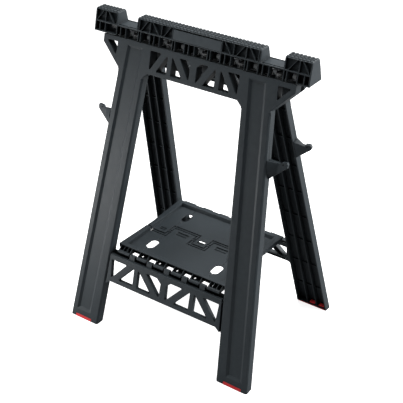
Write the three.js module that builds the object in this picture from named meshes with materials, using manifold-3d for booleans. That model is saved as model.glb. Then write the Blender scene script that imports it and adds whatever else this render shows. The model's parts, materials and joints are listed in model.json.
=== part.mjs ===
// Folding sawhorse: a ribbed head beam, two leg frames hinged inside it and a two-leaf shelf.
// Millimetres. +X along the head, +Y from the front frame to the rear frame, +Z up.
// The origin is on the floor under the middle of the head. The sawhorse stands open.
import * as THREE from 'three';
import { mergeVertices } from 'three/addons/utils/BufferGeometryUtils.js';
import { ConvexGeometry } from 'three/addons/geometries/ConvexGeometry.js';
import Module from 'manifold-3d';

const wasm = await Module();
wasm.setup();

// ---- driving dimensions ----
const GAP = 0.3;                 // clearance between separate pieces
const HEIGHT = 760;              // floor to the top of the head
const HEAD_HALF = 286;           // half length of the head
const HEAD_BOTTOM = 707.9;       // underside of the head
const HEAD_W_BOTTOM = 26.1;      // half width at the underside
const HEAD_W_TOP = 13.5;         // half width at the top
const FLANGE_LOW = 729.7;        // underside of the long flange
const FLANGE_TOP = 732.2;        // top of the flange, which is also the notch floor
const NOTCH_IN = 164.5;          // inner end of each timber notch
const NOTCH_OUT = 220.5;         // outer end of each timber notch
const GRIP_LOW = 756.4;          // underside of the grip plate
const WALL = 2.6;                // usual moulded wall
const RIB = 2;                   // ribs of the head
const CORE_DEPTH = 8;            // depth of the ribbed pockets beside the core of the head
const RIB_PERIOD = 95.4;         // spacing of the rib pattern under the head
const AXIS_Z = 712;              // hinge axis of the leg frames
const ROD_R = 3;
const KNUCKLE_R = 5.2;
const KNUCKLE_W = 9;
const CONE_W = 17;               // foot of the cone under each knuckle
const BOSS_HALF = 4.2;           // half thickness of the bosses round the rod

const TILT = THREE.MathUtils.degToRad(14);   // lean of each frame
const FRAME_Y = 25.4;            // outer face of a frame at its top edge
const FRAME_Z = 706.1;
const DEPTH = 22;                // frame thickness
const FACE = 6.6;                // thickness of the outer face of a leg
const RECESS = 4;                // sunk panel on each leg
const CHAMFER = 3.4;             // along the long edges of each leg
const V_FLOOR = 735;             // slant distance that is safely under the floor
const UPPER_LOW = 65.9;          // lower edge of the upper truss
const LOWER_TOP = 525.9;         // upper edge of the lower truss
const LOWER_LOW = 597.2;         // lower edge of the lower truss
const LOWER_DEPTH = 11;          // the lower truss is only half as thick as the legs
const TROUGH_V = 531;            // ledge behind the upper edge of the lower truss

const SOLE = 2.2;                // red sole under each leg
const LEG_FLOOR = 5;             // top of the closed bottom of each leg channel
const TAB_W = 49;                // red tab on the outer face
const TAB_X = 225.1;
const TAB_TOP = 720;

const TRAY_TOP = 215.4;
const TRAY_LOW = 204.4;
const TRAY_FLOOR = 206.9;
const TRAY_END = 126;            // half depth of the shelf
const TRAY_W_END = 156.9;        // half width at the outer edges
const TRAY_W_MID = 151.3;        // half width at the middle
const BASIN_X = 139.8;
const BASIN_Y_TOP = 114.6;
const BASIN_Y_LOW = 110.6;
const TONGUE_Y = 20.5;           // reach of the interlocking tongues
const TONGUE_X = [22, 95.4];     // sides of the tongues
const SLIT = 5.4;                // half of the gap round the tongues
const RIM_SLIT = 1.3;            // half of the gap through the side rims
const LIP_LOW = 203;             // ledges that close the gap from below
const LIP_HALF = 7.4;
const LIP_RIB = 1.9;             // half width of the rib along each ledge
const LIP_RIB_TOP = 206.3;
const EDGE_AXIS_Y = 139;         // hinge axis at the outer edges of the shelf
const EDGE_AXIS_Z = 202.5;
const EDGE_PITCH = 51.5;         // spacing of the lugs on the lower truss
const EDGE_WINDOW = 11.7;        // half width of each window for a lug
const EDGE_BARREL_R = 4.2;
const CELL_LOW = 199.2;          // underside of the cells along the outer edges
const CELL_BACK = 117.2;         // back of those cells
const CELL_OPEN = 119.4;         // inner end of the openings in their floor
const LUG_R = 4.8;
const LUG_HALF = 7.5;
const MID_AXIS_Z = 203;          // middle hinge axis
const MID_BARREL_R = 3.3;
const PIN_R = 1.75;

// ---- materials ----
function plastic(name, color) {
  const material = new THREE.MeshStandardMaterial({ color, roughness: 0.55, metalness: 0 });
  material.name = name;
  return material;
}

function steel() {
  const material = new THREE.MeshStandardMaterial({ color: 0xa9adb0, roughness: 0.35, metalness: 1 });
  material.name = 'steel';
  return material;
}

// ---- small geometry helpers ----
function toSolid(geometry) {
  const bare = geometry.index ? geometry.toNonIndexed() : geometry.clone();
  bare.deleteAttribute('normal');
  bare.deleteAttribute('uv');
  const merged = mergeVertices(bare, 1e-4);
  const vertProperties = new Float32Array(merged.attributes.position.array);
  const triVerts = new Uint32Array(merged.index.array);
  return new wasm.Manifold(new wasm.Mesh({ numProp: 3, vertProperties, triVerts }));
}

function addAll(solids) {
  return solids.reduce((sum, solid) => sum.add(solid));
}

function cutAll(base, cutters) {
  return base.subtract(addAll(cutters));
}

function box(x0, x1, y0, y1, z0, z1) {
  const geometry = new THREE.BoxGeometry(x1 - x0, y1 - y0, z1 - z0);
  geometry.translate((x0 + x1) / 2, (y0 + y1) / 2, (z0 + z1) / 2);
  return toSolid(geometry);
}

function hull(points) {
  return toSolid(new ConvexGeometry(points.map((p) => new THREE.Vector3(...p))));
}

// A cylinder along X.
function rod(x0, x1, y, z, r, sides = 16) {
  const geometry = new THREE.CylinderGeometry(r, r, x1 - x0, sides);
  geometry.rotateZ(Math.PI / 2);
  geometry.translate((x0 + x1) / 2, y, z);
  return toSolid(geometry);
}

function shapeOf(points) {
  return new THREE.Shape(points.map((p) => new THREE.Vector2(p[0], p[1])));
}

// A prism standing on a polygon in the XY plane.
function prismZ(points, z0, z1) {
  const geometry = new THREE.ExtrudeGeometry(shapeOf(points), { depth: z1 - z0, bevelEnabled: false });
  geometry.translate(0, 0, z0);
  return toSolid(geometry);
}

// A prism along X with a polygon of [y, z] points.
function prismX(points, x0, x1) {
  return hull([x0, x1].flatMap((x) => points.map((p) => [x, p[0], p[1]])));
}

// A prism through a frame: the polygon is [x, v] with v measured down the outer face.
function prismFrame(points, d0, d1) {
  const flipped = points.map((p) => [p[0], -p[1]]);
  const geometry = new THREE.ExtrudeGeometry(shapeOf(flipped), { depth: d1 - d0, bevelEnabled: false });
  geometry.translate(0, 0, -d1);
  geometry.rotateX(Math.PI / 2);
  return toSolid(geometry);
}

function mirrored(points) {
  return points.map((p) => [-p[0], p[1]]).reverse();
}

// Replaces each corner of a convex polygon by a short arc.
function rounded(points, radius, steps = 2) {
  const out = [];
  points.forEach((point, i) => {
    const corner = new THREE.Vector2(...point);
    const before = new THREE.Vector2(...points[(i + points.length - 1) % points.length]).sub(corner);
    const after = new THREE.Vector2(...points[(i + 1) % points.length]).sub(corner);
    const half = Math.acos(before.dot(after) / before.length() / after.length()) / 2;
    const back = Math.min(radius / Math.tan(half), 0.4 * before.length(), 0.4 * after.length());
    const a = corner.clone().add(before.setLength(back));
    const b = corner.clone().add(after.setLength(back));
    const curve = new THREE.QuadraticBezierCurve(a, corner, b);
    curve.getPoints(steps).forEach((p) => out.push([p.x, p.y]));
  });
  return out;
}

// Moves every side of a convex polygon inwards.
function inset(points, amount) {
  const area = THREE.ShapeUtils.area(points.map((p) => new THREE.Vector2(...p)));
  const ring = area > 0 ? points : [...points].reverse();
  return ring.map((point, i) => {
    const p = new THREE.Vector2(...point);
    const u = p.clone().sub(new THREE.Vector2(...ring[(i + ring.length - 1) % ring.length])).normalize();
    const w = new THREE.Vector2(...ring[(i + 1) % ring.length]).sub(p).normalize();
    const shift = amount / (u.x * w.y - u.y * w.x);
    return [p.x + (w.x - u.x) * shift, p.y + (w.y - u.y) * shift];
  });
}

function toMesh(name, solid, material) {
  const data = solid.getMesh();
  const geometry = new THREE.BufferGeometry();
  geometry.setAttribute('position', new THREE.BufferAttribute(new Float32Array(data.vertProperties), 3));
  geometry.setIndex(new THREE.BufferAttribute(new Uint32Array(data.triVerts), 1));
  geometry.computeVertexNormals();
  const mesh = new THREE.Mesh(geometry, material);
  mesh.name = name;
  return mesh;
}

// ---- head ----
function headWidth(z) {
  const t = (z - HEAD_BOTTOM) / (HEIGHT - HEAD_BOTTOM);
  return HEAD_W_BOTTOM + (HEAD_W_TOP - HEAD_W_BOTTOM) * t;
}

// The full outline of the head between two heights, along a stretch of X.
function headSlab(x0, x1, z0, z1) {
  const low = headWidth(z0);
  const high = headWidth(z1);
  return prismX([[-low, z0], [low, z0], [high, z1], [-high, z1]], x0, x1);
}

// A rib across one side of the head. Its two ends are at different X, so it can lean.
function sideRib(side, xLow, zLow, xHigh, zHigh, inner) {
  const points = [];
  [[xLow, zLow], [xHigh, zHigh]].forEach(([x, z]) => {
    [-RIB / 2, RIB / 2].forEach((t) => {
      points.push([side * (x + t) * -1, side * inner, z]);
      points.push([side * (x + t) * -1, side * headWidth(z), z]);
    });
  });
  return hull(points);
}

// Rib positions along one repeat of the pattern, and at the two ends of the head.
const RIB_OFFSETS = [-30.4, -19.2, -4, 31.8, 38.7];
const END_RIBS = [-271.5, -255.4, 255.9, 271.5];
// Pockets that are closed by a wall behind them.
const CLOSED_POCKETS = [[-31, -6.5], [31.8, 38.7]];
const END_POCKETS = [[-284, -255.4], [255.9, 284]];
const CORNER_POCKET = [-255.4, -221.2];
const POCKET_DEPTH = 9;

function repeats() {
  return [-2, -1, 0, 1, 2].map((k) => k * RIB_PERIOD);
}

function underRibs(side) {
  const spots = [...END_RIBS, ...repeats().flatMap((x) => RIB_OFFSETS.map((offset) => x + offset))];
  return spots.map((x) => sideRib(side, x, HEAD_BOTTOM, x, FLANGE_LOW + 0.5, POCKET_DEPTH - 0.5));
}

function pocketWalls(side) {
  const closed = repeats().flatMap((x) => CLOSED_POCKETS.map(([a, b]) => [x + a, x + b]));
  const corner = side < 0 ? [CORNER_POCKET] : [];
  return [...closed, ...END_POCKETS, ...corner].map(([a, b]) => {
    const x = side < 0 ? [a, b] : [-b, -a];
    const y = side < 0 ? [-POCKET_DEPTH - 1.8, -POCKET_DEPTH] : [POCKET_DEPTH, POCKET_DEPTH + 1.8];
    return box(x[0], x[1], y[0], y[1], HEAD_BOTTOM, FLANGE_LOW + 0.5);
  });
}

// The fans of ribs in the upper faces: [x at the flange, x at the top].
const END_FAN = [[230.4, 250.4], [256.4, 256.4], [281.6, 262.5]];
const MID_FAN = [[89, 70.8], [95.8, 95.8], [102.4, 122.5], [127.6, 127.6], [153.2, 134.5], [158.4, 158.4]];

function fanRibs(side) {
  const ribs = [];
  [...END_FAN, ...MID_FAN].forEach(([low, high]) => {
    [-1, 1].forEach((hand) => {
      ribs.push(sideRib(side, hand * low, FLANGE_TOP - 0.5, hand * high, 757.5, 1));
    });
  });
  return ribs;
}

function plateRibs(side) {
  return [-55, -32, -10, 0, 10, 32, 55].map((x) => (
    sideRib(side, x, FLANGE_TOP - 0.5, x, 757.5, 1).intersect(
      box(-70, 70, -(headWidth(757) - 3.2), headWidth(757) - 3.2, 730, 760),
    )
  ));
}

// Bosses that hold the rod between the knuckles of the two frames.
function rodBosses() {
  const bosses = [];
  const half = RIB_PERIOD / 2;
  for (let k = -6; k <= 5; k += 1) {
    const middle = (k + 0.5) * half;
    const low = k % 2 === 0 ? middle - 5 : middle - half / 2 + KNUCKLE_W / 2 + 0.6;
    const high = k % 2 === 0 ? middle + half / 2 - KNUCKLE_W / 2 - 0.6 : middle + 5;
    bosses.push(box(Math.max(low, -HEAD_HALF + 1), Math.min(high, HEAD_HALF - 1), -BOSS_HALF, BOSS_HALF,
      HEAD_BOTTOM - 2.5, FLANGE_LOW + 0.5));
  }
  return bosses;
}

// Shallow grooves along both edges of each notch floor.
function notchSlots() {
  const slots = [];
  const middle = (NOTCH_IN + NOTCH_OUT) / 2;
  const edge = headWidth(FLANGE_TOP) - 1.7;
  [-1, 1].forEach((hand) => {
    [-1, 1].forEach((side) => {
      [[NOTCH_IN + 1, middle - 1.5], [middle + 1.5, NOTCH_OUT - 1]].forEach(([a, b]) => {
        const x = hand > 0 ? [a, b] : [-b, -a];
        const y = side > 0 ? [edge - 5, edge] : [-edge, -edge + 5];
        slots.push(box(x[0], x[1], y[0], y[1], FLANGE_LOW + 0.9, FLANGE_TOP + 1));
      });
    });
  });
  return slots;
}

// One raised block of the head, with a core along its middle and walls at its ends.
function headBlock(x0, x1) {
  const low = headWidth(FLANGE_TOP) - CORE_DEPTH;
  const high = headWidth(GRIP_LOW) - CORE_DEPTH;
  return [
    headSlab(x0, x1, GRIP_LOW, HEIGHT),
    prismX([[-low, FLANGE_TOP - 0.5], [low, FLANGE_TOP - 0.5], [high, 757], [-high, 757]], x0, x1),
    headSlab(x0, x0 + 3, FLANGE_TOP - 0.5, HEIGHT),
    headSlab(x1 - 3, x1, FLANGE_TOP - 0.5, HEIGHT),
  ];
}

function headBeam() {
  const pieces = [
    headSlab(-HEAD_HALF, HEAD_HALF, FLANGE_LOW, FLANGE_TOP),
    headSlab(-HEAD_HALF, -HEAD_HALF + 3, HEAD_BOTTOM, FLANGE_TOP),
    headSlab(HEAD_HALF - 3, HEAD_HALF, HEAD_BOTTOM, FLANGE_TOP),
    headSlab(-HEAD_HALF, -257.6, HEAD_BOTTOM, HEAD_BOTTOM + 2),
    headSlab(257.6, HEAD_HALF, HEAD_BOTTOM, HEAD_BOTTOM + 2),
    headSlab(-258, CORNER_POCKET[1], HEAD_BOTTOM, HEAD_BOTTOM + 2).intersect(
      box(-258, CORNER_POCKET[1], -30, -POCKET_DEPTH, 700, 720),
    ),
    box(-HEAD_HALF + 1, HEAD_HALF - 1, -WALL / 2, WALL / 2, AXIS_Z + KNUCKLE_R + 0.9, FLANGE_LOW + 0.5),
    ...headBlock(-HEAD_HALF, -NOTCH_OUT),
    ...headBlock(-NOTCH_IN, NOTCH_IN),
    ...headBlock(NOTCH_OUT, HEAD_HALF),
    ...rodBosses(),
  ];
  [-1, 1].forEach((side) => {
    pieces.push(...underRibs(side), ...pocketWalls(side), ...fanRibs(side), ...plateRibs(side));
    // upright frames beside the name plate
    [-65.5, 65.5].forEach((x) => pieces.push(sideRib(side, x, FLANGE_TOP - 0.5, x, 757.5, 1)));
  });
  const bore = rod(-HEAD_HALF + 4, HEAD_HALF - 4, 0, AXIS_Z, ROD_R + GAP, 20);
  return cutAll(addAll(pieces), [bore, ...notchSlots()]);
}

// A flat plate that follows the slope of the head face.
function namePlate(side) {
  const zLow = FLANGE_TOP + GAP;
  const zHigh = 753.4;
  const points = [];
  [[zLow, headWidth(zLow)], [zHigh, headWidth(zHigh)]].forEach(([z, w]) => {
    [-63.6, 63.6].forEach((x) => {
      points.push([x, side * (w - 2.4), z]);
      points.push([x, side * w, z]);
    });
  });
  return hull(points);
}

// ---- leg frames, in frame coordinates: X, depth inwards as Y, and -v as Z ----
function legIn(v) {
  return 127.1 + 0.07338 * v;
}

function legOut(v) {
  return 199.7 + 0.09065 * v;
}

const UPPER_OPENINGS = [
  [[119.5, 11], [118.5, 57.5], [89, 11]],
  [[71, 11], [71, 56.6], [99.7, 56.6]],
  [[58.5, 11], [28, 57], [58.5, 57]],
  [[39, 11], [19, 11], [8.7, 20], [9, 57.8]],
];
const LOWER_OPENINGS = [
  [[157.5, 539], [154.5, 587.5], [111.5, 539]],
  [[88.5, 538.5], [88.5, 586.5], [132, 586.5]],
  [[76.5, 539], [32.7, 587], [76.5, 587]],
  [[53.5, 539], [20.5, 539], [7.8, 550], [9, 587.5]],
];
const GUSSET_OPENING = [[214.5, 11], [216.5, 43], [246.5, 11]];

function frameOutline() {
  const right = [
    [256.6, 0],
    [256.6, 17.9],
    [206, 69.1],
    [legOut(V_FLOOR), V_FLOOR],
    [legIn(V_FLOOR), V_FLOOR],
    [legIn(608.5), 608.5],
    [156.4, LOWER_LOW],
  ];
  const body = prismFrame([...right, ...mirrored(right)], 0, DEPTH);
  const opening = [
    [legIn(LOWER_TOP), LOWER_TOP],
    [132.7, 76.3],
    [120.8, UPPER_LOW],
  ];
  return body.subtract(prismFrame([...opening, ...mirrored(opening)], -1, DEPTH + 1));
}

function openingCutters() {
  const cutters = [];
  [...UPPER_OPENINGS, ...LOWER_OPENINGS, GUSSET_OPENING].forEach((points) => {
    const soft = rounded(points, 2.2);
    cutters.push(prismFrame(soft, -1, DEPTH + 1));
    cutters.push(prismFrame(mirrored(soft), -1, DEPTH + 1));
  });
  return cutters;
}

// Channels in the inner face of the truss bars, so that the bars are hollow.
function barPockets() {
  const bars = [
    [[89, 11], [118.5, 57.5], [99.7, 56.6], [71, 11]],
    [[58.5, 11], [71, 11], [71, 57], [58.5, 57]],
    [[39, 11], [58.5, 11], [28, 57], [9, 57.8]],
    [[111.5, 539], [154.5, 587.5], [132, 586.5], [88.5, 538.5]],
    [[76.5, 539], [88.5, 539], [88.5, 587], [76.5, 587]],
    [[53.5, 539], [76.5, 539], [32.7, 587], [9, 587.5]],
  ];
  const cutters = [];
  bars.forEach((bar) => {
    const cell = inset(bar, 2.4);
    cutters.push(prismFrame(cell, 4, DEPTH + 1));
    cutters.push(prismFrame(mirrored(cell), 4, DEPTH + 1));
  });
  [[3, 8.4, 186], [60, 63.2, 116], [528.5, 536.3, 158], [589.8, 594.6, 150]].forEach(([v0, v1, x]) => {
    cutters.push(prismFrame([[-x, v0], [-x, v1], [x, v1], [x, v0]], 4, DEPTH + 1));
  });
  return cutters;
}

function legPoint(v, t) {
  return [legIn(v) + 3 + (legOut(v) - legIn(v) - 6) * t, v];
}

// The channel of the right leg with its two long ribs and its low cross ribs left standing.
function legChannel() {
  let channel = prismFrame([legPoint(12, 0), legPoint(V_FLOOR, 0), legPoint(V_FLOOR, 1), legPoint(12, 1)],
    FACE, DEPTH + 1);
  [1 / 3, 2 / 3].forEach((t) => {
    const a = legPoint(12, t);
    const b = legPoint(V_FLOOR, t);
    channel = channel.subtract(prismFrame([[a[0] - 1.2, a[1]], [b[0] - 1.2, b[1]], [b[0] + 1.2, b[1]],
      [a[0] + 1.2, a[1]]], FACE - 1, DEPTH - 3));
  });
  for (let v = 100; v < 700; v += 80) {
    channel = channel.subtract(box(100, 280, FACE - 1, FACE + 3, -v - 1.2, -v + 1.2));
  }
  return channel;
}

// The sunk panel on the outer face of the right leg, with sloping sides.
function legPanel() {
  const outer = [[142.7, 11.3], [204.9, 706], [248.3, 706], [185, 11.3]];
  const inner = [[148, 16.5], [210.5, 699], [241.8, 699], [179.8, 16.5]];
  const points = [];
  const over = 0.3;
  outer.forEach((p, i) => {
    points.push([p[0] + (p[0] - inner[i][0]) * over, -RECESS * over, -(p[1] + (p[1] - inner[i][1]) * over)]);
  });
  inner.forEach((p) => points.push([p[0], RECESS, -p[1]]));
  return hull(points);
}

// Chamfers along the two long outer edges of the right leg.
function legChamfers() {
  const out = [];
  [[legIn, -1, 80], [legOut, 1, 72]].forEach(([edge, hand, top]) => {
    const points = [];
    [top, V_FLOOR + 5].forEach((v) => {
      points.push([edge(v) + hand * 3, -3, -v]);
      points.push([edge(v) + hand * 3, CHAMFER + 3, -v]);
      points.push([edge(v) - hand * (CHAMFER + 3), -3, -v]);
    });
    out.push(hull(points));
  });
  return out;
}

function hookStuds(r, x0, x1) {
  return [186, 206].map((v) => rod(legOut(v) + x0, legOut(v) + x1, 13.5, -v, r, 12));
}

function mirrorX(solid) {
  return solid.mirror([1, 0, 0]);
}

// Moves a solid from frame coordinates to its leaning place in front.
function leanFront(solid) {
  return solid.rotate([-THREE.MathUtils.radToDeg(TILT), 0, 0]).translate([0, -FRAME_Y, FRAME_Z]);
}

function toRear(solid) {
  return solid.rotate([0, 0, 180]);
}

function framePoint(x, v, d) {
  const y = -FRAME_Y - v * Math.sin(TILT) + d * Math.cos(TILT);
  const z = FRAME_Z - v * Math.cos(TILT) - d * Math.sin(TILT);
  return [x, y, z];
}

function ring(x0, x1, y, z, r, sides = 16) {
  const points = [];
  for (let i = 0; i < sides; i += 1) {
    const a = (i / sides) * 2 * Math.PI;
    points.push([x0, y + r * Math.cos(a), z + r * Math.sin(a)]);
    points.push([x1, y + r * Math.cos(a), z + r * Math.sin(a)]);
  }
  return points;
}

// Knuckles that rise from the top of the front frame to the head rod, each on a small cone.
function headKnuckle(x) {
  const x0 = x - KNUCKLE_W / 2;
  const x1 = x + KNUCKLE_W / 2;
  const barrel = hull([
    ...ring(x0, x1, 0, AXIS_Z, KNUCKLE_R),
    [x0 + 1.2, -KNUCKLE_R + 0.6, AXIS_Z - KNUCKLE_R - 1.2],
    [x1 - 1.2, -KNUCKLE_R + 0.6, AXIS_Z - KNUCKLE_R - 1.2],
    [x0 + 1.2, KNUCKLE_R - 1.6, AXIS_Z - KNUCKLE_R - 1.2],
    [x1 - 1.2, KNUCKLE_R - 1.6, AXIS_Z - KNUCKLE_R - 1.2],
  ]);
  const cone = hull([x0 + 1.2, x1 - 1.2].flatMap((tx) => [
    [tx, -KNUCKLE_R + 0.6, AXIS_Z - KNUCKLE_R - 0.8],
    [tx, KNUCKLE_R - 1.6, AXIS_Z - KNUCKLE_R - 0.8],
  ]).concat([x - CONE_W / 2, x + CONE_W / 2].flatMap((bx) => [
    framePoint(bx, 1.5, DEPTH - 12),
    framePoint(bx, 1.5, DEPTH),
  ])));
  return barrel.add(cone);
}

// Where a lug or a cradle grows out of the lower truss.
function lugRoot(x) {
  return [framePoint(x, LOWER_TOP + 1, 6.5), framePoint(x, LOWER_TOP + 8, LOWER_DEPTH - 0.2)];
}

// Lugs on the lower truss that carry the pin of the shelf.
function shelfLug(x) {
  const x0 = x - LUG_HALF;
  const x1 = x + LUG_HALF;
  return hull([
    ...ring(x0, x1, -EDGE_AXIS_Y, EDGE_AXIS_Z, LUG_R),
    ...lugRoot(x0),
    ...lugRoot(x1),
  ]);
}

// Open cradles, low enough for the rear edge of the shelf to slide out over them.
function shelfCradle(x) {
  const x0 = x - LUG_HALF;
  const x1 = x + LUG_HALF;
  const top = EDGE_AXIS_Z - 0.9;
  const block = hull([
    [x0, -EDGE_AXIS_Y - 4.4, top],
    [x1, -EDGE_AXIS_Y - 4.4, top],
    [x0, -EDGE_AXIS_Y + 3.6, top],
    [x1, -EDGE_AXIS_Y + 3.6, top],
    ...lugRoot(x0),
    ...lugRoot(x1),
  ]);
  const path = hull([
    ...ring(x0 - 1, x1 + 1, -EDGE_AXIS_Y, EDGE_AXIS_Z, PIN_R + GAP),
    ...ring(x0 - 1, x1 + 1, -EDGE_AXIS_Y - 20, EDGE_AXIS_Z, PIN_R + GAP),
  ]);
  return block.subtract(path);
}

// The space behind the thin lower truss.
function lowerRelief() {
  const top = LOWER_TOP - 10;
  const low = LOWER_LOW + 14;
  return prismFrame([[-legIn(top), top], [-legIn(low), low], [legIn(low), low], [legIn(top), top]],
    LOWER_DEPTH, DEPTH + 1);
}

// The trough behind the lower truss, which closes it under the shelf hinge.
function trough() {
  const x = legIn(TROUGH_V) + 1;
  const ledge = box(-x, x, 3.5, DEPTH, -TROUGH_V - 2.4, -TROUGH_V);
  const wall = box(-x, x, DEPTH - 2, DEPTH, -TROUGH_V - 2.4, -TROUGH_V + 11);
  return leanFront(ledge.add(wall));
}

function frameBody() {
  const right = [legPanel(), ...legChamfers(), ...hookStuds(2.8, -8, 5)];
  const cutters = [...openingCutters(), ...barPockets(), lowerRelief(), ...right, ...right.map(mirrorX)];
  const bare = leanFront(cutAll(frameOutline(), cutters)).add(trough());
  const channel = leanFront(legChannel()).subtract(box(-400, 400, -400, 400, -100, LEG_FLOOR));
  const low = [channel, ...footParts(GAP), ...footPlugs(GAP)];
  return cutAll(bare, [...low, ...low.map(mirrorX), box(-400, 400, -400, 400, -60, GAP)]);
}

function knuckleSpots(offset) {
  const spots = [];
  for (let k = -3; k <= 3; k += 1) {
    const x = (k + offset) * RIB_PERIOD;
    if (Math.abs(x) < 250) {
      spots.push(x);
    }
  }
  return spots;
}

function lugSpots() {
  return [-2, -1, 0, 1, 2].map((k) => k * EDGE_PITCH);
}

// The knuckles of the front frame stand at whole steps, those of the rear frame at half steps.
function frame(isRear) {
  const knuckles = knuckleSpots(isRear ? 0.5 : 0).map(headKnuckle);
  const seats = lugSpots().map(isRear ? shelfCradle : shelfLug);
  const solid = addAll([frameBody(), ...knuckles, ...seats]);
  return cutAll(solid, [
    rod(-300, 300, 0, AXIS_Z, ROD_R + GAP, 20),
    rod(-160, 160, -EDGE_AXIS_Y, EDGE_AXIS_Z, PIN_R + GAP, 12),
  ]);
}

// ---- feet and hooks of the front right leg ----
function upTo(solid, height) {
  return solid.intersect(box(-400, 400, -400, 400, -60, height));
}

// The sole between the walls of the leg and the tab in its outer face, grown by the clearance.
function footParts(grow) {
  const inside = 3.4 - grow;
  const low = V_FLOOR + 20;
  const sole = prismFrame([
    [legIn(700) + inside, 700],
    [legIn(low) + inside, low],
    [legOut(low) - inside, low],
    [legOut(700) - inside, 700],
  ], inside, DEPTH + (grow > 0 ? 1 : 0));
  const x0 = TAB_X - TAB_W / 2 - grow;
  const x1 = TAB_X + TAB_W / 2 + grow;
  const outer = grow > 0 ? -1 : 0;
  const tab = prismFrame([[x0, TAB_TOP - grow], [x0, low], [x1, low], [x1, TAB_TOP - grow]], outer, 2.6 + grow);
  const link = prismFrame([[x0, 700], [x0, low], [x1, low], [x1, 700]], outer, 5);
  return [upTo(leanFront(sole), SOLE + grow), leanFront(tab), upTo(leanFront(link), SOLE + grow)];
}

// The plugs of the sole, which come up through the closed bottom of the leg.
function footPlugs(grow) {
  return [0.5, 0.83].map((t) => {
    const x = legPoint(722, t)[0];
    const plug = box(x - 7 - grow, x + 7 + grow, 9 - grow, 17 + grow, -727, -715 + grow);
    return leanFront(plug).intersect(box(-400, 400, -400, 400, 0.5, 40));
  });
}

function foot() {
  return addAll([...footParts(0), ...footPlugs(0)]).intersect(box(-400, 400, -400, 400, 0, 60));
}

// A horn that carries a cord: a plate with a raised tip on a flared root.
function hook() {
  const plate = prismFrame([
    [legOut(175) + GAP, 175.1],
    [244, 177.1],
    [247, 172.3],
    [259.1, 170.4],
    [261.5, 174.8],
    [260.5, 182.4],
    [228.9, 210.6],
    [legOut(218.6) + GAP, 218.6],
  ], 14, 21.5);
  const root = [[176, 3], [176, 21.5], [190, 1], [205, 6], [219, 18], [219, 21.5]];
  const flare = hull([
    ...root.map(([v, d]) => [legOut(v) + GAP, d, -v]),
    [238, 14, -177.5],
    [238, 21.5, -177.5],
    [238, 14, -201],
    [238, 21.5, -201],
  ]);
  const hole = new THREE.CylinderGeometry(1.4, 1.4, 60, 10);
  hole.translate(250.3, 11, -177.6);
  return leanFront(addAll([plate, flare, ...hookStuds(2.5, -6, 1.5)]).subtract(toSolid(hole)));
}

// ---- shelf ----
function trayShell() {
  const outline = [[TRAY_W_END, -TRAY_END], [TRAY_W_MID, 0], [TRAY_W_END, TRAY_END]];
  const body = prismZ([...outline, ...mirrored(outline)], TRAY_LOW, TRAY_TOP);
  const basin = hull([-1, 1].flatMap((sx) => [-1, 1].flatMap((sy) => [
    [sx * BASIN_X, sy * BASIN_Y_LOW, TRAY_FLOOR],
    [sx * BASIN_X, sy * (BASIN_Y_TOP + 0.5), TRAY_TOP + 1],
  ])));
  const under = [];
  const lid = TRAY_TOP - WALL;
  [-1, 1].forEach((s) => {
    under.push(hull([TRAY_LOW - 1, lid].flatMap((z) => [
      [s * (BASIN_X + WALL), -TRAY_END + WALL, z],
      [s * (BASIN_X + WALL), -24, z],
      [s * (TRAY_W_END - WALL), -TRAY_END + WALL, z],
      [s * (TRAY_W_MID + 1 - WALL), -24, z],
    ])));
    under.push(hull([TRAY_LOW - 1, lid].flatMap((z) => [
      [s * (BASIN_X + WALL), TRAY_END - WALL, z],
      [s * (BASIN_X + WALL), 4, z],
      [s * (TRAY_W_END - WALL), TRAY_END - WALL, z],
      [s * (TRAY_W_MID - WALL), 4, z],
    ])));
    under.push(box(-BASIN_X, BASIN_X, s > 0 ? BASIN_Y_TOP + WALL : -TRAY_END + WALL,
      s > 0 ? TRAY_END - WALL : -BASIN_Y_TOP - WALL, TRAY_LOW - 1, lid));
  });
  return cutAll(body, [basin, ...under]);
}

// The region of one leaf, seen from above, with its tongues.
function leafRegion(isRear) {
  const s = isRear ? 1 : -1;
  const near = isRear ? -TONGUE_Y + SLIT : -TONGUE_Y - SLIT;
  const far = isRear ? TONGUE_Y + SLIT : TONGUE_Y - SLIT;
  const x0 = TONGUE_X[0] - s * SLIT;
  const x1 = TONGUE_X[1] + s * SLIT;
  const rim = s * RIM_SLIT - TONGUE_Y;
  const rimX = BASIN_X - 0.5;
  const right = [[x0, near], [x0, far], [x1, far], [x1, near], [rimX, near], [rimX, rim], [170, rim], [170, s * 170]];
  const points = [...right, ...mirrored(right)];
  return prismZ(points, TRAY_LOW - 10, TRAY_TOP + 10);
}

function ovalCutter(x, y) {
  const points = [];
  for (let i = 0; i < 20; i += 1) {
    const a = (i / 20) * 2 * Math.PI;
    points.push([x + 11 * Math.cos(a), y + Math.sign(Math.sin(a)) * 7.5 + 11 * Math.sin(a)]);
  }
  return prismZ(points, TRAY_LOW - 1, TRAY_FLOOR + 1);
}

function leafCutters(isRear) {
  const s = isRear ? 1 : -1;
  const cutters = [];
  [-1, 1].forEach((hand) => {
    const x = hand * TONGUE_X[1];
    cutters.push(ovalCutter(x, s * 72.7));
    cutters.push(box(x - 1.2, x + 1.2, Math.min(s * 24, s * 107), Math.max(s * 24, s * 107),
      TRAY_FLOOR - 1.5, TRAY_FLOOR + 1));
  });
  const windows = isRear ? [[0, 9.5, 7], [-117, 8.5, 3.6], [117, 8.5, 3.6]] : [[-58.4, 16.5, 7], [58.4, 16.5, 7]];
  windows.forEach(([x, half, far]) => {
    cutters.push(box(x - half, x + half, -7, far, TRAY_LOW - 1, TRAY_FLOOR + 1));
  });
  return cutters;
}

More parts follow.
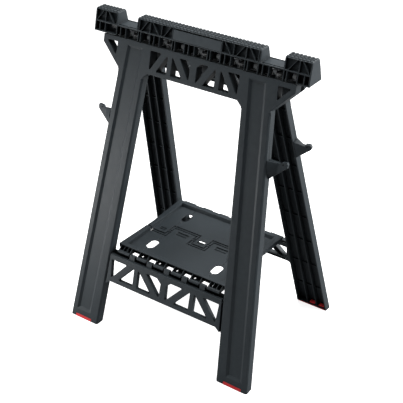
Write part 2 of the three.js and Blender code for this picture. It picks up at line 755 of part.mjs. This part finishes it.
// Ledges under the gap round the tongues: each leaf carries those on its own side of the hinge.
function gapRibbons(isRear, half, low, top) {
  const s = isRear ? 1 : -1;
  const ends = [s * 4.3, s * (TONGUE_Y + half)];
  const line = s * TONGUE_Y;
  const across = isRear ? [TONGUE_X] : [[0, TONGUE_X[0]], [TONGUE_X[1], BASIN_X - 0.9]];
  const ribbons = TONGUE_X.map((x) => (
    box(x - half, x + half, Math.min(...ends), Math.max(...ends), low, top)
  ));
  across.forEach(([x0, x1]) => ribbons.push(box(x0, x1, line - half, line + half, low, top)));
  return ribbons.flatMap((ribbon) => [ribbon, mirrorX(ribbon)]);
}

function gapLips(isRear) {
  const low = gapRibbons(isRear, LIP_HALF, LIP_LOW, TRAY_LOW - GAP);
  const roots = gapRibbons(isRear, LIP_HALF, LIP_LOW, TRAY_LOW + 0.5);
  const ribs = gapRibbons(isRear, LIP_RIB, LIP_LOW, LIP_RIB_TOP);
  return [...low, ...ribs, ...roots.map((root) => root.intersect(leafRegion(isRear)))];
}

// Barrels and open cells along the outer edge, built for the front leaf.
function edgeHinge() {
  const pieces = [box(-149, 149, -CELL_OPEN, -CELL_BACK + 2.4, CELL_LOW, TRAY_LOW + 1)];
  const stretches = [];
  for (let k = -2; k < 2; k += 1) {
    stretches.push([k * EDGE_PITCH + EDGE_WINDOW, (k + 1) * EDGE_PITCH - EDGE_WINDOW]);
  }
  const last = 2 * EDGE_PITCH + EDGE_WINDOW;
  stretches.push([last, 149], [-149, -last]);
  stretches.forEach(([x0, x1]) => {
    pieces.push(rod(x0, x1, -EDGE_AXIS_Y, EDGE_AXIS_Z, EDGE_BARREL_R, 16));
    pieces.push(box(x0, x1, -EDGE_AXIS_Y, -CELL_BACK + 1, CELL_LOW, CELL_LOW + 2));
  });
  const ribs = lugSpots().flatMap((x) => [x - EDGE_WINDOW - 1, x + EDGE_WINDOW + 1]);
  ribs.push(126, 137, 148, -126, -137, -148);
  ribs.forEach((x) => {
    pieces.push(hull([x - 0.9, x + 0.9].flatMap((rx) => [
      [rx, -EDGE_AXIS_Y + 1, CELL_LOW + 0.5],
      [rx, -EDGE_AXIS_Y + 1, EDGE_AXIS_Z + EDGE_BARREL_R - 0.6],
      [rx, -TRAY_END + 0.4, TRAY_TOP - 2],
      [rx, -CELL_BACK + 0.5, TRAY_TOP - 2],
      [rx, -CELL_BACK + 0.5, CELL_LOW + 0.5],
    ])));
  });
  return pieces;
}

// The open front of the cells.
function cellFront() {
  return box(-150, 150, -TRAY_END - 1, -CELL_BACK - 0.5, TRAY_LOW - 1, TRAY_TOP - WALL);
}

function edgeCutters() {
  const cutters = [rod(-160, 160, -EDGE_AXIS_Y, EDGE_AXIS_Z, PIN_R + GAP, 12)];
  lugSpots().forEach((x) => {
    cutters.push(box(x - EDGE_WINDOW, x + EDGE_WINDOW, -150, -CELL_OPEN, 190, TRAY_TOP - WALL));
    [-16.2, 16.2].forEach((step) => {
      cutters.push(box(x + step - 1.9, x + step + 1.9, -126, -CELL_OPEN, 195, TRAY_LOW));
    });
  });
  return cutters;
}

function midBarrel(x0, x1) {
  return hull(ring(x0, x1, 0, MID_AXIS_Z, MID_BARREL_R, 12));
}

// A barrel hung under its own leaf's tongue.
function hungBarrel(x0, x1) {
  return hull([
    ...ring(x0, x1, 0, MID_AXIS_Z, MID_BARREL_R, 12),
    [x0, -MID_BARREL_R, TRAY_LOW + 0.6],
    [x1, -MID_BARREL_R, TRAY_LOW + 0.6],
    [x0, MID_BARREL_R, TRAY_LOW + 0.6],
    [x1, MID_BARREL_R, TRAY_LOW + 0.6],
  ]);
}

// A barrel on an arm that reaches under the other leaf's tongue. The arm widens past the barrel.
function reachBarrel(x0, x1, s, wide) {
  const low = MID_AXIS_Z - 1.3;
  const high = TRAY_LOW - GAP;
  const end = s * (TONGUE_Y + 12);
  const past = s * (MID_BARREL_R + 0.9);
  const root = s * (TONGUE_Y + SLIT + 0.8);
  const span = (y) => [Math.min(y, end), Math.max(y, end)];
  return [
    midBarrel(x0, x1),
    box(x0, x1, ...span(0), low, high),
    box(x0 - wide, x1 + wide, ...span(past), low, high),
    box(x0 - wide, x1 + wide, ...span(root), low, TRAY_LOW + 0.6),
  ];
}

function mirrorPairs(ranges) {
  return ranges.flatMap(([a, b]) => [[a, b], [-b, -a]]);
}

function leaf(isRear) {
  const s = isRear ? 1 : -1;
  const turn = (solid) => (isRear ? toRear(solid) : solid);
  const inner = TONGUE_X[0] - s * SLIT;
  const outer = TONGUE_X[1] + s * SLIT;
  const hung = isRear ? [[9.6, inner], [outer, 106.4], [127.6, 137]] : [[inner, 43.4], [73.6, outer]];
  const bare = isRear ? [[inner - 1, 21.7], [95.8, outer + 1]] : [[22.3, inner + 1], [outer - 1, 95]];
  const reach = isRear ? [[44, 73]] : [[109, 125]];
  const wide = isRear ? 3 : 0;
  const pieces = [
    cutAll(trayShell().intersect(leafRegion(isRear)), [...leafCutters(isRear), turn(cellFront())]),
    ...edgeHinge().map(turn),
    ...mirrorPairs(hung).map(([a, b]) => hungBarrel(a, b)),
    ...mirrorPairs(bare).map(([a, b]) => midBarrel(a, b)),
    ...mirrorPairs(reach).flatMap(([a, b]) => reachBarrel(a, b, s, wide)),
    ...gapLips(isRear),
  ];
  if (!isRear) {
    pieces.push(...reachBarrel(-9, 9, s, 0));
  }
  const bore = rod(-140, 140, 0, MID_AXIS_Z, PIN_R + GAP, 12);
  return cutAll(addAll(pieces), [bore, ...edgeCutters().map(turn)]);
}

// ---- assembly ----
const DARK = 0x4b5355;
const object = new THREE.Group();
object.name = 'folding_sawhorse';

function put(name, solid, material) {
  object.add(toMesh(name, solid, material));
}

put('head_beam', headBeam(), plastic('head_plastic', DARK));
put('name_plate_front', namePlate(-1), plastic('plate_plastic', 0x43494b));
put('name_plate_rear', namePlate(1), plastic('plate_plastic', 0x43494b));
put('head_rod', rod(-281.5, 281.5, 0, AXIS_Z, ROD_R, 20), steel());
put('front_frame', frame(false), plastic('frame_plastic', DARK));
put('rear_frame', toRear(frame(true)), plastic('frame_plastic', DARK));

const footSolid = foot();
const hookSolid = hook();
[['front_right', (s) => s], ['front_left', mirrorX], ['rear_left', toRear],
  ['rear_right', (s) => toRear(mirrorX(s))]].forEach(([place, move]) => {
  put(`foot_${place}`, move(footSolid), plastic('red_rubber', 0xf0393f));
  put(`hook_${place}`, move(hookSolid), plastic('frame_plastic', DARK));
});

put('tray_front', leaf(false), plastic('tray_plastic', DARK));
put('tray_rear', leaf(true), plastic('tray_plastic', DARK));
put('tray_front_pin', rod(-148.5, 148.5, -EDGE_AXIS_Y, EDGE_AXIS_Z, PIN_R, 12), steel());
put('tray_rear_pin', rod(-148.5, 148.5, EDGE_AXIS_Y, EDGE_AXIS_Z, PIN_R, 12), steel());
[[-136, -95.8], [-95, -22.3], [-21.7, 21.7], [22.3, 95], [95.8, 136]].forEach(([a, b], i) => {
  put(`tray_pin_${i + 1}`, rod(a, b, 0, MID_AXIS_Z, PIN_R, 12), steel());
});

export default object;
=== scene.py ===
# Folding sawhorse in dark moulded plastic with red feet, in a white studio.
# Metres throughout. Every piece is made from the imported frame, where it already stands.
import json
import math

import bmesh
import bpy
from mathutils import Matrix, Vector


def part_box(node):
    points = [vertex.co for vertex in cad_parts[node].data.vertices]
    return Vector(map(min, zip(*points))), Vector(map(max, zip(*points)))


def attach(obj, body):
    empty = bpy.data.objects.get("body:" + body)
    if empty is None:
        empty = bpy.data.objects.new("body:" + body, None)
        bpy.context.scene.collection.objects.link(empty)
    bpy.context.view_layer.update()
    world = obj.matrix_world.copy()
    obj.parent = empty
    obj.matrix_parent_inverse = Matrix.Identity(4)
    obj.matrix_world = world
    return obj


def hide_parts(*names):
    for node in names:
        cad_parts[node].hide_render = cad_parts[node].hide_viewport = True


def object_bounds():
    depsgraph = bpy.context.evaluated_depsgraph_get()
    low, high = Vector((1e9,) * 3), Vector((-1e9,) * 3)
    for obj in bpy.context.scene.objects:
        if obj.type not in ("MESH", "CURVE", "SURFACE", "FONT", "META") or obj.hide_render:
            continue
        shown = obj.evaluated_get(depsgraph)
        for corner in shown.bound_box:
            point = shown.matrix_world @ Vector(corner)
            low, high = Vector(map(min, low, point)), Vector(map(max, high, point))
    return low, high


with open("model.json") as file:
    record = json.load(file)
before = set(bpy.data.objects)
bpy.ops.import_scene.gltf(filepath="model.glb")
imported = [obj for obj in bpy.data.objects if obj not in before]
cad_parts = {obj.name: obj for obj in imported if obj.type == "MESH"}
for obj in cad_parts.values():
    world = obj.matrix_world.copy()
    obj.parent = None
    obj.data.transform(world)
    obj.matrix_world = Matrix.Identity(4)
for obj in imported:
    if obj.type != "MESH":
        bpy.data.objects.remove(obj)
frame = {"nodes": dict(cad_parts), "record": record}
cad_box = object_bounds()

MM = 0.001
LOW, HIGH = Vector(cad_box[0]), Vector(cad_box[1])
HEIGHT = HIGH.z - LOW.z
MIDDLE = (LOW + HIGH) / 2

# ---- camera: angles in degrees, distance in metres, lens and sensor in millimetres ----
CAMERA_AZIMUTH = 34.96
CAMERA_ELEVATION = 30.09
CAMERA_DISTANCE = 2.2864
CAMERA_LENS = 86.05
CAMERA_SENSOR = 36.0
CAMERA_SHIFT = (0.0002, -0.0486)

# ---- moulded edges: radii in general and of the smaller pieces, angles in degrees ----
EDGE_SEGMENTS = 2
EDGE_RADIUS = 0.55 * MM
PLATE_RADIUS = 0.7 * MM
HOOK_RADIUS = 0.8 * MM
FOOT_RADIUS = 0.4 * MM
EDGE_ANGLE = 29
SHARP_ANGLE = 50
NORMAL_WEIGHT = 60
MERGE_DISTANCE = 0.004 * MM

# ---- grip on top of the head: rows of blocks, three across ----
GRIP_HEIGHT = 2.2 * MM
GRIP_WIDTH = 27 * MM
GRIP_PITCH = 9.4 * MM
GRIP_ROWS = 3
GRIP_GAP = 3.2 * MM
GRIP_ROW_GAP = 1.6 * MM
GRIP_TAPER = 0.6 * MM
GRIP_LEAN = 1.4 * MM
TOP_SKIN = 0.05 * MM
NOTCH_MARGIN = 2 * MM

# ---- studio: place, target, size in metres and power in watts of each light ----
FLOOR_HALF = 9.0
FLOOR_WHITE = 0.9
FLOOR_GLOW = 0.84
FLOOR_RETURN = 0.3
FILL_STRENGTH = 0.22
FILL_COLOUR = (0.93, 0.975, 1.0)
SOFTBOXES = {
    "top_softbox": ((-0.1, 0.35, 2.0), (0.0, 0.0, 0.3), (1.7, 1.7), 42),
    "left_softbox": ((-1.0, -0.72, 0.08), (-0.25, -0.15, 0.10), (0.6, 0.6), 14),
    "right_softbox": ((2.2, 1.25, 1.2), (0.1, 0.0, 0.4), (1.2, 1.6), 84),
}

# ---- looks: linear colours, noise scales per metre, reaches from the rod's axis ----
PLASTIC = (0.0315, 0.0393, 0.0450)
PLATE = (0.0590, 0.0700, 0.0780)
# Painted highlight on the knuckles and painted light on their cones: paler copies of the
# plastic.
KNUCKLE_HIGHLIGHT = (0.80, 0.81, 0.82)
CONE_LIGHT = (0.19, 0.20, 0.205)
RED = (0.80, 0.030, 0.035)
STEEL = (0.10, 0.10, 0.105)
PLASTIC_SPECULAR = 0.27
DRIFT_SCALE = 7.0
DRIFT_DEPTH = 0.25 * MM
MOTTLE_SCALE = 90.0
GRAIN_SCALE = 1500.0
GRAIN_DEPTH = 0.035 * MM
KNUCKLE_REACH = 6.0 * MM
CONE_REACH = 15 * MM
CONE_LEVEL = 0.93
# Painted shade: how far, how finely and how deeply hollows darken the plastic's colour.
HOLLOW_REACH = 30 * MM
HOLLOW_SAMPLES = 12
HOLLOW_FLOOR = 0.03
HOLLOW_SPAN = (0.17, 0.70)


# ---------------------------------------------------------------- helpers
def linked(name, mesh):
    piece = bpy.data.objects.new(name, mesh)
    bpy.context.scene.collection.objects.link(piece)
    return piece


def mesh_from(name, bm):
    mesh = bpy.data.meshes.new(name)
    bm.to_mesh(mesh)
    bm.free()
    return mesh


def applied(piece):
    """Bakes the modifiers of a piece into its mesh."""
    graph = bpy.context.evaluated_depsgraph_get()
    mesh = bpy.data.meshes.new_from_object(piece.evaluated_get(graph))
    mesh.name = piece.name
    piece.modifiers.clear()
    piece.data = mesh


def clean_copy(node):
    """The mesh of a CAD node with its corners joined and its slivers dropped."""
    bm = bmesh.new()
    bm.from_mesh(frame["nodes"][node].data)
    bmesh.ops.remove_doubles(bm, verts=bm.verts, dist=MERGE_DISTANCE)
    bmesh.ops.dissolve_degenerate(bm, dist=MERGE_DISTANCE, edges=bm.edges)
    return bm


def smooth_shading(mesh):
    bm = bmesh.new()
    bm.from_mesh(mesh)
    for face in bm.faces:
        face.smooth = True
    for edge in bm.edges:
        turn = edge.calc_face_angle(0.0) if len(edge.link_faces) == 2 else 0.0
        edge.smooth = turn < math.radians(SHARP_ANGLE)
    bm.to_mesh(mesh)
    bm.free()


def soften_edges(piece, radius):
    """Rounds the edges of a moulded piece and shades it smooth."""
    bevel = piece.modifiers.new("edges", "BEVEL")
    bevel.width = radius
    bevel.segments = EDGE_SEGMENTS
    bevel.limit_method = "ANGLE"
    bevel.angle_limit = math.radians(EDGE_ANGLE)
    bevel.use_clamp_overlap = False
    bevel.miter_outer = "MITER_ARC"
    applied(piece)
    smooth_shading(piece.data)
    weighted = piece.modifiers.new("normals", "WEIGHTED_NORMAL")
    weighted.keep_sharp = True
    weighted.weight = NORMAL_WEIGHT
    applied(piece)


def body_of(node):
    for body, nodes in frame["record"]["behaviour"]["bodies"].items():
        if node in nodes:
            return body
    raise ValueError(node)


def slot_of(node):
    for part in frame["record"]["subparts"]:
        if part["node"] == node:
            return part["material_slot"]
    raise ValueError(node)


# ---------------------------------------------------------------- materials
def new_material(name):
    material = bpy.data.materials.new(name)
    material.use_nodes = True
    tree = material.node_tree
    return material, tree, tree.nodes["Principled BSDF"]


def noise(tree, coords, scale, detail):
    node = tree.nodes.new("ShaderNodeTexNoise")
    node.inputs["Scale"].default_value = scale
    node.inputs["Detail"].default_value = detail
    tree.links.new(coords, node.inputs["Vector"])
    return node.outputs["Fac"]


def remap(tree, value, low, high, span=(0.3, 0.7)):
    """Stretches the given span of a value over low to high."""
    node = tree.nodes.new("ShaderNodeMapRange")
    node.inputs["From Min"].default_value = span[0]
    node.inputs["From Max"].default_value = span[1]
    node.inputs["To Min"].default_value = low
    node.inputs["To Max"].default_value = high
    tree.links.new(value, node.inputs["Value"])
    return node.outputs["Result"]


def mixed(tree, factor, a, b, blend="MIX"):
    """Mixes two colours; each input is a socket, a colour or a number."""
    node = tree.nodes.new("ShaderNodeMix")
    node.data_type = "RGBA"
    node.blend_type = blend
    for socket, value in ((0, factor), (6, a), (7, b)):
        if isinstance(value, (int, float)):
            node.inputs[socket].default_value = value
        elif isinstance(value, tuple):
            node.inputs[socket].default_value = (*value, 1.0)
        else:
            tree.links.new(value, node.inputs[socket])
    return node.outputs[2]


def bump(tree, height, distance, strength, normal=None):
    node = tree.nodes.new("ShaderNodeBump")
    node.inputs["Strength"].default_value = strength
    node.inputs["Distance"].default_value = distance
    tree.links.new(height, node.inputs["Height"])
    if normal is not None:
        tree.links.new(normal, node.inputs["Normal"])
    return node.outputs["Normal"]


def hollow_shade(tree):
    """Painted shade: darkens the colour in deep corners and hollows, where shade falls."""
    node = tree.nodes.new("ShaderNodeAmbientOcclusion")
    node.samples = HOLLOW_SAMPLES
    node.inputs["Distance"].default_value = HOLLOW_REACH
    return remap(tree, node.outputs["AO"], HOLLOW_FLOOR, 1.0, HOLLOW_SPAN)


def scaled(colour, factor):
    return tuple(channel * factor for channel in colour)


def moulded_plastic(name, colour, rough, grain=1.0, paint_hollow_shade=True):
    """Satin polypropylene with a fine spark-eroded grain and slow drifts of tone."""
    material, tree, shader = new_material(name)
    coords = tree.nodes.new("ShaderNodeTexCoord").outputs["Object"]
    drift = noise(tree, coords, DRIFT_SCALE, 3.0)
    mottle = noise(tree, coords, MOTTLE_SCALE, 3.0)
    fine = noise(tree, coords, GRAIN_SCALE, 2.0)
    tone = mixed(tree, remap(tree, drift, 0.0, 1.0), scaled(colour, 0.90), scaled(colour, 1.10))
    tone = mixed(tree, remap(tree, mottle, 0.0, 0.35), tone, scaled(colour, 1.3))
    # Painted shade: the colour is darkened in hollows and corners by an occlusion node.
    if paint_hollow_shade:
        tone = mixed(tree, 1.0, tone, hollow_shade(tree), "MULTIPLY")
    tree.links.new(tone, shader.inputs["Base Color"])
    tree.links.new(remap(tree, mottle, rough - 0.05, rough + 0.06), shader.inputs["Roughness"])
    grainy = bump(tree, fine, GRAIN_DEPTH * grain, 0.5)
    wavy = bump(tree, drift, DRIFT_DEPTH, 0.35, grainy)
    tree.links.new(wavy, shader.inputs["Normal"])
    shader.inputs["Specular IOR Level"].default_value = PLASTIC_SPECULAR
    return material


def red_rubber():
    """Matte rubber, scuffed a little darker in places."""
    material, tree, shader = new_material("red_rubber")
    coords = tree.nodes.new("ShaderNodeTexCoord").outputs["Object"]
    scuff = noise(tree, coords, 120.0, 4.0)
    fine = noise(tree, coords, 900.0, 2.0)
    tone = mixed(tree, remap(tree, scuff, 0.0, 0.6), RED, scaled(RED, 0.72))
    tree.links.new(tone, shader.inputs["Base Color"])
    tree.links.new(remap(tree, scuff, 0.55, 0.72), shader.inputs["Roughness"])
    tree.links.new(bump(tree, fine, 0.05 * MM, 0.6), shader.inputs["Normal"])
    return material


def dark_steel():
    """Oiled drawn steel: the pins hardly shine inside the hinges."""
    material, tree, shader = new_material("steel")
    coords = tree.nodes.new("ShaderNodeTexCoord").outputs["Object"]
    stretched = tree.nodes.new("ShaderNodeMapping")
    stretched.inputs["Scale"].default_value = (0.05, 1.0, 1.0)
    tree.links.new(coords, stretched.inputs["Vector"])
    lines = noise(tree, stretched.outputs["Vector"], 2600.0, 3.0)
    tone = mixed(tree, remap(tree, lines, 0.0, 1.0), scaled(STEEL, 0.7), scaled(STEEL, 1.3))
    tree.links.new(tone, shader.inputs["Base Color"])
    shader.inputs["Metallic"].default_value = 1.0
    tree.links.new(remap(tree, lines, 0.34, 0.5), shader.inputs["Roughness"])
    tree.links.new(bump(tree, lines, 0.02 * MM, 0.5), shader.inputs["Normal"])
    return material


MATERIALS = {
    "dark_plastic": moulded_plastic("dark_plastic", PLASTIC, 0.47),
    "plate_plastic": moulded_plastic("plate_plastic", PLATE, 0.42, 0.6, paint_hollow_shade=False),
    # Paler copies of the plastic: painted highlight on the knuckles, painted light on their
    # cones.
    "worn_plastic": moulded_plastic("worn_plastic", KNUCKLE_HIGHLIGHT, 0.4, 0.6, paint_hollow_shade=False),
    "rubbed_plastic": moulded_plastic("rubbed_plastic", CONE_LIGHT, 0.4, 0.6, paint_hollow_shade=False),
    "red_rubber": red_rubber(),
    "steel": dark_steel(),
}


# ---------------------------------------------------------------- pieces
def finish_piece(piece, node, *replaced):
    """Gives a piece the material, body and slot of its CAD node."""
    piece.data.materials.clear()
    piece.data.materials.append(MATERIALS[slot_of(node)])
    for face in piece.data.polygons:
        face.material_index = 0
    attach(piece, body_of(node))
    if replaced:
        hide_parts(*replaced)


def moulded(node, radius=EDGE_RADIUS, change=None):
    """A moulded piece made from its CAD node, with rounded edges."""
    bm = clean_copy(node)
    if change:
        change(bm)
    piece = linked(node + "_moulded", mesh_from(node, bm))
    soften_edges(piece, radius)
    finish_piece(piece, node, node)
    return piece


def lower_grip_plate(bm):
    """Makes room on top of the head for the grip."""
    for vertex in bm.verts:
        if vertex.co.z > HIGH.z - TOP_SKIN:
            vertex.co.z -= GRIP_HEIGHT


def paint_knuckle_light(piece, axis):
    """Painted highlight: the knuckles that turn on the head rod, and their feet, get paler
    copies of the plastic for the light they catch.
    """
    piece.data.materials.append(MATERIALS["worn_plastic"])
    piece.data.materials.append(MATERIALS["rubbed_plastic"])
    for face in piece.data.polygons:
        away = math.hypot(face.center.y - axis.y, face.center.z - axis.z)
        # Painted highlight on the knuckle barrels, painted light on the sloping faces of their
        # cones.
        if away < KNUCKLE_REACH:
            face.material_index = 1
        elif away < CONE_REACH and abs(face.normal.z) < CONE_LEVEL:
            face.material_index = 2


def add_grip_block(bm, centre, size):
    """A low block with sloping sides, slanted along X."""
    for vertex in bmesh.ops.create_cube(bm, size=1.0)["verts"]:
        shrink = GRIP_TAPER if vertex.co.z > 0 else 0.0
        slant = math.copysign(GRIP_LEAN / 2, vertex.co.y)
        vertex.co.x = centre.x + math.copysign(size[0] / 2 - shrink, vertex.co.x) + slant
        vertex.co.y = centre.y + math.copysign(size[1] / 2 - shrink, vertex.co.y)
        vertex.co.z = centre.z + (vertex.co.z + 0.5) * size[2]


def grip_stretches():
    """The raised stretches of the head, found from the timber notches of the record."""
    notches = []
    for opening in frame["record"]["physics"]["openings"]:
        if opening["name"].startswith("timber_notch"):
            low, high = opening["box_m"]
            notches.append((low[0] - NOTCH_MARGIN, high[0] + NOTCH_MARGIN))
    notches.sort()
    edges = [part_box("head_beam")[0][0]]
    for start, end in notches:
        edges += [start, end]
    edges.append(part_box("head_beam")[1][0])
    return [(edges[i], edges[i + 1]) for i in range(0, len(edges), 2)]


def head_grip():
    """Rows of small blocks along the top of the head."""
    bm = bmesh.new()
    row_width = GRIP_WIDTH / GRIP_ROWS
    for start, end in grip_stretches():
        count = round((end - start) / GRIP_PITCH)
        pitch = (end - start) / count
        for i in range(count):
            for row in range(GRIP_ROWS):
                y = (row - (GRIP_ROWS - 1) / 2) * row_width
                centre = Vector((start + (i + 0.5) * pitch, y, HIGH.z - GRIP_HEIGHT))
                size = (pitch - GRIP_GAP, row_width - GRIP_ROW_GAP, GRIP_HEIGHT)
                add_grip_block(bm, centre, size)
    finish_piece(linked("head_grip", mesh_from("head_grip", bm)), "head_beam")


def polish_pin(node):
    """A steel pin keeps its CAD mesh and gets the drawn steel."""
    mesh = frame["nodes"][node].data
    mesh.materials.clear()
    mesh.materials.append(MATERIALS["steel"])


moulded("head_beam", change=lower_grip_plate)
head_grip()
for node in ("name_plate_front", "name_plate_rear"):
    moulded(node, PLATE_RADIUS)
rod_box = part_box("head_rod")
rod_axis = (Vector(rod_box[0]) + Vector(rod_box[1])) / 2
for node in ("front_frame", "rear_frame"):
    paint_knuckle_light(moulded(node), rod_axis)
for node in ("tray_front", "tray_rear"):
    moulded(node)
for node in frame["nodes"]:
    if node.startswith("hook_"):
        moulded(node, HOOK_RADIUS)
    if node.startswith("foot_"):
        moulded(node, FOOT_RADIUS)
    if slot_of(node) == "steel":
        polish_pin(node)


# ---------------------------------------------------------------- studio
def seen_by_camera(tree, seen, unseen, output):
    """Gives the backdrop one shader for the picture and another for the light it returns."""
    path = tree.nodes.new("ShaderNodeLightPath")
    mix = tree.nodes.new("ShaderNodeMixShader")
    tree.links.new(path.outputs["Is Camera Ray"], mix.inputs["Fac"])
    tree.links.new(unseen, mix.inputs[1])
    tree.links.new(seen, mix.inputs[2])
    tree.links.new(mix.outputs["Shader"], output)


def studio_floor():
    """A white floor that glows for the camera and returns only a little light."""
    bm = bmesh.new()
    bmesh.ops.create_grid(bm, x_segments=1, y_segments=1, size=FLOOR_HALF)
    floor = linked("studio_floor", mesh_from("studio_floor", bm))
    material, tree, shader = new_material("studio_white")
    shader.inputs["Base Color"].default_value = (FLOOR_WHITE, FLOOR_WHITE, FLOOR_WHITE, 1.0)
    shader.inputs["Roughness"].default_value = 0.9
    shader.inputs["Specular IOR Level"].default_value = 0.0
    shader.inputs["Emission Color"].default_value = (1.0, 1.0, 1.0, 1.0)
    shader.inputs["Emission Strength"].default_value = FLOOR_GLOW
    dim = tree.nodes.new("ShaderNodeBsdfDiffuse")
    dim.inputs["Color"].default_value = (FLOOR_RETURN, FLOOR_RETURN, FLOOR_RETURN, 1.0)
    out = tree.nodes["Material Output"].inputs["Surface"]
    seen_by_camera(tree, shader.outputs["BSDF"], dim.outputs["BSDF"], out)
    floor.data.materials.append(material)


def area_light(name, place, target, size, power):
    light = bpy.data.lights.new(name, "AREA")
    light.shape = "RECTANGLE"
    light.size, light.size_y = size
    light.energy = power
    lamp = bpy.data.objects.new(name, light)
    lamp.location = place
    aim = Vector(target) - Vector(place)
    lamp.rotation_euler = aim.to_track_quat("-Z", "Y").to_euler()
    bpy.context.scene.collection.objects.link(lamp)


def studio_sky():
    """White behind the object, and a faint cool fill light all round it."""
    sky = bpy.data.worlds.new("studio")
    sky.use_nodes = True
    tree = sky.node_tree
    fill = tree.nodes["Background"]
    fill.inputs["Color"].default_value = (*FILL_COLOUR, 1.0)
    fill.inputs["Strength"].default_value = FILL_STRENGTH
    backdrop = tree.nodes.new("ShaderNodeBackground")
    backdrop.inputs["Color"].default_value = (1.0, 1.0, 1.0, 1.0)
    out = tree.nodes["World Output"].inputs["Surface"]
    seen_by_camera(tree, backdrop.outputs["Background"], fill.outputs["Background"], out)
    bpy.context.scene.world = sky


def studio_camera():
    """Looks at the object from the front right and from above."""
    data = bpy.data.cameras.new("camera")
    data.sensor_width = CAMERA_SENSOR
    data.lens = CAMERA_LENS
    data.shift_x, data.shift_y = CAMERA_SHIFT
    azimuth, elevation = math.radians(CAMERA_AZIMUTH), math.radians(CAMERA_ELEVATION)
    back = Vector((
        math.sin(azimuth) * math.cos(elevation),
        -math.cos(azimuth) * math.cos(elevation),
        math.sin(elevation),
    ))
    viewer = bpy.data.objects.new("camera", data)
    viewer.location = Vector((MIDDLE.x, MIDDLE.y, LOW.z + HEIGHT / 2)) + CAMERA_DISTANCE * back
    viewer.rotation_euler = (-back).to_track_quat("-Z", "Y").to_euler()
    bpy.context.scene.collection.objects.link(viewer)
    bpy.context.scene.camera = viewer


studio_floor()
studio_sky()
for name, settings in SOFTBOXES.items():
    area_light(name, *settings)
studio_camera()
scene = bpy.context.scene
scene.view_settings.view_transform = "Standard"
scene.view_settings.look = "None"
